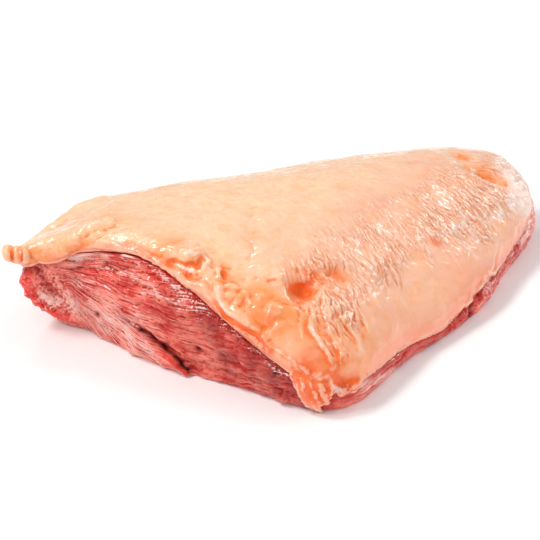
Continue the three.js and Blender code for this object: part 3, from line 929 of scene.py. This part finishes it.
LEAN_WET = {
    "red edge": (swell, 4.0, 0.8, [(28, 290), (37, 303), (52, 308)]),
    "streaks": (swell, 6.0, 0.8, [(98, 273), (120, 274), (145, 288), (165, 299), (190, 308)]),
    "under the seam": (swell, 3.4, 1.0, [
        (124, 256), (150, 266), (175, 285), (210, 312), (245, 343), (285, 376),
    ]),
    "flap's edge": (swell, 2.4, 0.8, [(138, 335), (159, 352), (188, 375)]),
    "right strip": (swell, 4.0, 0.8, [(455, 325), (475, 300), (500, 268)]),
}

LEAN_FINENESS = 0.56                              # mm, the size of its faces
ON_FLOOR = 0.3 * MM                               # the height under which it isn't seen
FAN_ROOT = (-127.0, 33.0, 40.0)                   # mm, where the fibres of the cut face spread from
FAN_LENGTH = 38.0                                 # mm over which they turn level
FAN_START = 12.0                                  # mm, so that they don't all meet at the root


def lean_grain(places):
    """How far each place lies across and along the muscle fibres, all in mm."""
    away = np.hypot(places[:, 0] - FAN_ROOT[0], places[:, 1] - FAN_ROOT[1])
    spread = 1 - np.exp(-(away + FAN_START) / FAN_LENGTH)
    wander = 1.2 * bumps(places, (24, 24, 24), 2, 7)
    return (FAN_ROOT[2] - places[:, 2] + wander) / spread, away


def lean_texture(places, grain, run, wet, ragged):
    """Small relief of the meat, in mm, with scraps in place of the grain where it is ragged."""
    flow = np.column_stack([grain, run, places[:, 2]])
    bundles = bumps(flow, (5.0, 22, 90), 2, 8)
    fibres = bumps(flow, (1.6, 9, 60), 2, 9)
    fissures = np.abs(bumps(flow, (5.0, 12, 70), 2, 10))
    lumps = bumps(places, (7, 7, 7), 3, 11)
    drops = bumps(places, (1.7, 1.7, 1.7), 2, 13)
    scraps = bumps(places, (3.4, 3.4, 3.4), 3, 14)
    lift = (0.65 * bundles + 0.34 * fibres - 0.4 * grown(fissures, 0.14, 0.0)) * (1 - ragged)
    return lift + 0.6 * lumps + 0.45 * wet * drops + 0.8 * ragged * scraps


def make_lean():
    piece = welded_copy("lean", "lean_skin")
    reskin(piece, COARSE, smoothing=10)
    join_beads(piece, LEAN_BEADS)
    reskin(piece, LEAN_FINENESS, smoothing=3)
    points, facing = read_points(piece.data), read_points(piece.data, "normal")
    hidden = (nearness(points, cap_solid) < COVERED) & (facing[:, 2] > 0.3)
    thin_out(piece, hidden | (points[:, 2] < ON_FLOOR), share=0.04)
    mesh = piece.data
    rest_on_floor(mesh)
    points, facing = read_points(mesh), read_points(mesh, "normal")
    seam = nearness(points, cap_solid)
    under_cap = grown(seam, 1.6, 0.6) * grown(facing[:, 2], 0.35, 0.7)
    free = grown(points[:, 2] / MM, 0.2, 2.5) * (1 - under_cap)
    grain, run = lean_grain(points / MM)
    # the pale and dark masks hold painted highlights and painted shade as well as the meat's own tones
    pale_and_highlights, dark_and_shade, red = [drawn(piece, strokes) for strokes in (LEAN_PALE_AND_HIGHLIGHTS, LEAN_DARK_AND_SHADE, LEAN_RED)]
    wet, ragged = drawn(piece, LEAN_WET), np.clip(drawn(piece, LEAN_RAGGED), 0, 1)
    texture = lean_texture(points / MM, grain, run, wet, ragged)
    raise_points(mesh, (drawn(piece, LEAN_RELIEF) + texture) * free - BEDDING * under_cap)
    write_fields(mesh, {
        "grain": grain,
        "run": run,
        "hollow": hollowness(mesh, 6),
        "pale_and_highlights": pale_and_highlights,
        "dark_and_shade": dark_and_shade,
        "red": red,
        "wet": wet,
        "ragged": ragged,
        "seam": seam,
    })
    keep_to_limit(piece)
    return piece


# the lean's colours, as read on a screen
LEAN_COLOURS = {
    "flesh": (210, 40, 26),
    "rosy flesh": (255, 136, 116),
    "light bundles": (248, 138, 116),
    "deep bundles": (188, 34, 20),
    "deep fibres": (160, 18, 10),
    "light fibres": (252, 162, 142),
    "red": (236, 40, 22),
    # painted shade toward the cap's edge
    "shade toward the cap": (190, 24, 18),
    # pale tone with painted highlights
    "pale_and_highlights": (255, 204, 192),
    # painted shade in hollows
    "hollow shade": (164, 20, 14),
    # darker tone with painted shade in gaps, then painted shadow in the slit, the tear and the spots
    "dark_and_shade": (150, 22, 18),
    "darkest shade": (50, 4, 4),
    "moist glints": (255, 222, 212),
}


def lean_finish():
    recipe = Recipe("lean")
    ragged, hollow, dark_and_shade = recipe.field("ragged"), recipe.field("hollow"), recipe.field("dark_and_shade")
    fine = recipe.blend(ragged, recipe.streaks(0.8, 10, 3), recipe.noise(1.6, 3))
    medium = recipe.blend(ragged, recipe.streaks(2.4, 17, 3), recipe.noise(5, 3))
    patches = recipe.between(recipe.noise(12, 4), 0.38, 0.6)
    base = recipe.mix(patches, colour(*LEAN_COLOURS["flesh"]), colour(*LEAN_COLOURS["rosy flesh"]))
    # mask of the pale tone with painted highlights along the fibres
    streaked_pale_and_highlights = recipe.plus(recipe.field("pale_and_highlights"), recipe.times(fine, 1.8))
    # mask of painted glints, as specks among the wet places
    glint_specks = recipe.plus(recipe.noise(1.2, 3), recipe.times(fine, 1.2))
    glint_mask = recipe.plus(glint_specks, recipe.times(recipe.field("wet"), 0.5))
    base = recipe.coats(base, {
        "light bundles": recipe.between(medium, 0.5, 0.68, 0, 0.65),
        "deep bundles": recipe.between(medium, 0.46, 0.3, 0, 0.75),
        "deep fibres": recipe.between(fine, 0.46, 0.32, 0, 0.8),
        "light fibres": recipe.between(fine, 0.56, 0.7, 0, 0.55),
        "red": recipe.between(recipe.field("red"), 0.1, 1.1, 0, 0.8),
        # painted shade toward the cap's edge
        "shade toward the cap": recipe.between(recipe.field("seam"), 7.0, 1.5, 0, 0.7),
        # pale tone with painted highlights
        "pale_and_highlights": recipe.between(streaked_pale_and_highlights, 1.1, 1.75, 0, 0.85),
        # painted shade in hollows
        "hollow shade": recipe.between(hollow, 0.03, 0.35, 0, 0.75),
        # darker tone with painted shade in gaps, then painted shadow in the slit, the tear and the spots
        "dark_and_shade": recipe.between(dark_and_shade, 0.1, 1.0, 0, 0.8),
        "darkest shade": recipe.between(dark_and_shade, 0.9, 1.5),
        # painted glints
        "moist glints": recipe.between(glint_mask, 1.66, 1.82, 0, 0.85),
    }, LEAN_COLOURS)
    shader = recipe.add("ShaderNodeBsdfPrincipled", {
        "Base Color": base,
        "Roughness": recipe.between(hollow, 0.0, 0.2, 0.36, 0.7),
        "Specular IOR Level": 0.25,
        "Subsurface Weight": 0.4,
        "Subsurface Radius": (1.0, 0.12, 0.08),
        "Subsurface Scale": 2.5 * MM,
        "Coat Weight": recipe.between(hollow, 0.1, -0.05, 0.0, 0.8),
        "Coat Roughness": 0.07,
    })
    fibrous = recipe.plus(recipe.times(fine, 1.6), recipe.noise(1.0, 4))
    return recipe.finish(shader, fibrous, 0.34)


# -------------------------------- assembly


def dress(piece, node, finish):
    """Puts a finished piece on the frame in place of its plain solid."""
    piece.data.materials.clear()
    piece.data.materials.append(finish)
    for face in piece.data.polygons:
        face.use_smooth = True
    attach(piece, "root")
    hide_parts(node)


dress(make_cap(), "fat_cap", fat_finish())
dress(make_lean(), "lean", lean_finish())

# -------------------------------- floor and light

# each lamp's direction from the joint, its distance and the side of its square in m, and its power in W
LAMPS = {
    "key": ((-0.5, 0.25, 0.83), 3.0, 0.7, 34),
    "left": ((-0.73, 0.0, 0.68), 3.0, 0.4, 18),
    "side": ((0.86, 0.28, 0.42), 3.0, 0.7, 10),
    "back": ((0.0, 0.67, 0.74), 3.0, 0.5, 8),
    "front": ((-0.15, -0.86, 0.42), 3.6, 2.4, 22),
    "right": ((0.75, -0.35, 0.56), 3.6, 2.0, 25),
}
NOT_MIRRORED = ("front", "right")                 # lamps that lighten the shade and make no glints
DAYLIGHT = 0.48                                   # strength of the even white light from all round
FLOOR_HALF = 4.0                                  # m, from the middle of the floor to its sides
FLOOR_GAP = 0.05 * MM                             # from the floor up to the joint's underside


def add_floor():
    made = bmesh.new()
    bmesh.ops.create_grid(made, x_segments=1, y_segments=1, size=FLOOR_HALF)
    mesh = bpy.data.meshes.new("floor")
    made.to_mesh(mesh)
    made.free()
    floor = bpy.data.objects.new("floor", mesh)
    floor.location.z = -FLOOR_GAP
    bpy.context.scene.collection.objects.link(floor)
    recipe = Recipe("floor")
    white = recipe.add("ShaderNodeBsdfDiffuse", {"Color": (0.95, 0.95, 0.95, 1)})
    mesh.materials.append(recipe.finish(white))


def add_softbox(name, toward, away, side, watts):
    """A square soft lamp that faces the joint."""
    light = bpy.data.lights.new(name, "AREA")
    light.shape = "SQUARE"
    light.size = side
    light.energy = watts
    lamp = bpy.data.objects.new(name, light)
    lamp.visible_glossy = name not in NOT_MIRRORED
    direction = Vector(toward).normalized()
    lamp.location = TARGET + direction * away
    lamp.rotation_euler = (-direction).to_track_quat("-Z", "Y").to_euler()
    bpy.context.scene.collection.objects.link(lamp)


def add_light():
    scene = bpy.context.scene
    scene.view_settings.view_transform = "Standard"
    world = bpy.data.worlds.new("studio")
    world.use_nodes = True
    background = world.node_tree.nodes["Background"]
    background.inputs["Color"].default_value = (1, 1, 1, 1)
    background.inputs["Strength"].default_value = DAYLIGHT
    scene.world = world
    for name, lamp in LAMPS.items():
        add_softbox(name, *lamp)


add_floor()
add_light()
